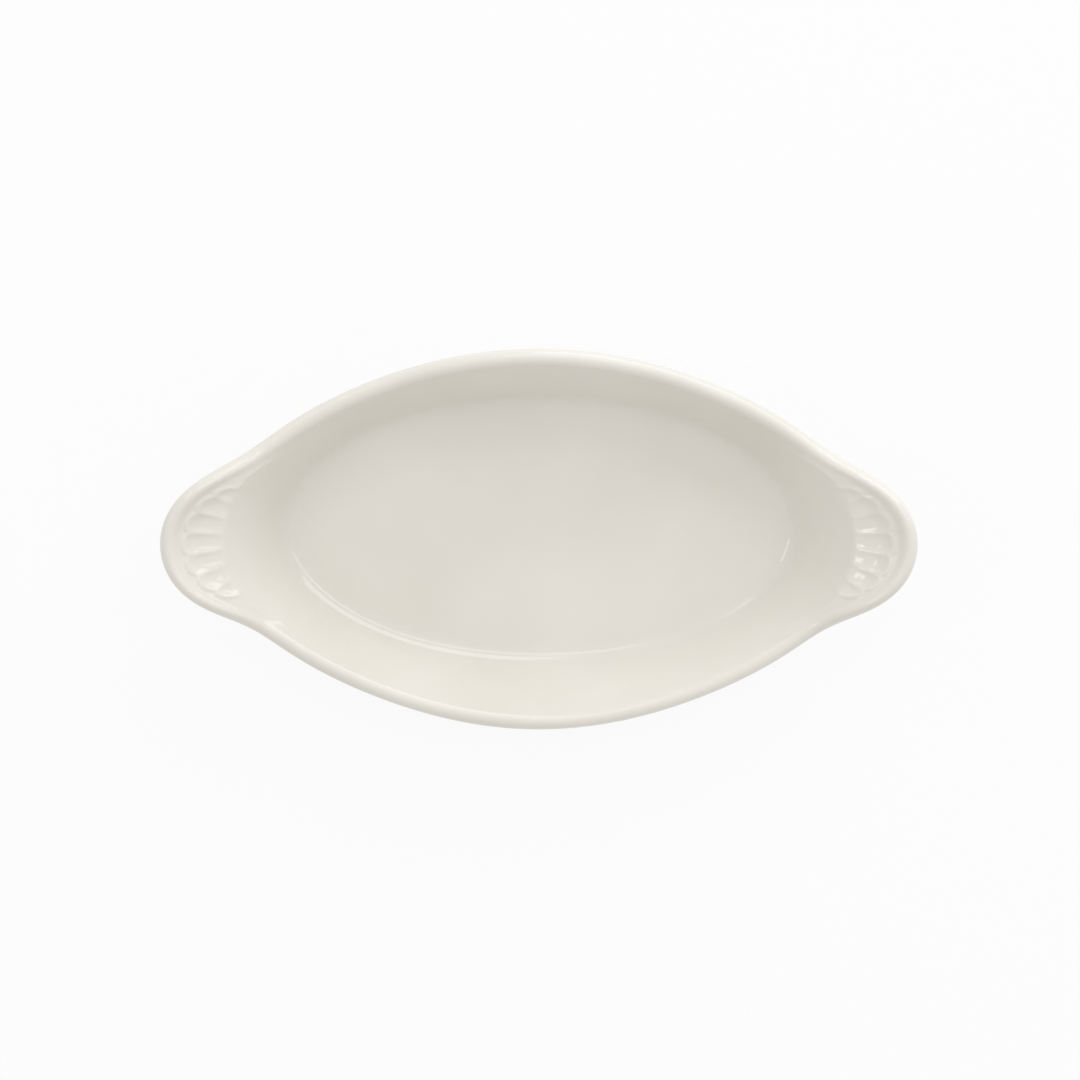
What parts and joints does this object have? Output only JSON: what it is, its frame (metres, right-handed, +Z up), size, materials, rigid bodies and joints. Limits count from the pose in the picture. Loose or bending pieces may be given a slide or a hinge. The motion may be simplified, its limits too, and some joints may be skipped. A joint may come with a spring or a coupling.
{
  "type": "gratin_dish",
  "caption": "Shallow oval gratin dish in glazed ceramic, with a rounded rim, two raised ears fluted like a shell, and a dry ring to stand on. It bakes and serves one portion.",
  "frame": {"origin": "middle of the foot ring, on the table plane", "axes": "+X through the ears, +Y across the dish, +Z up out of the well"},
  "size_m": [0.2064, 0.1058, 0.035],
  "materials": {
    "glaze": "warm white glossy glaze",
    "dry_foot": "unglazed, ground flat"
  },
  "bodies": {
    "root": {"dish_body": "glaze", "foot_ring": "dry_foot"}
  },
  "joints": []
}
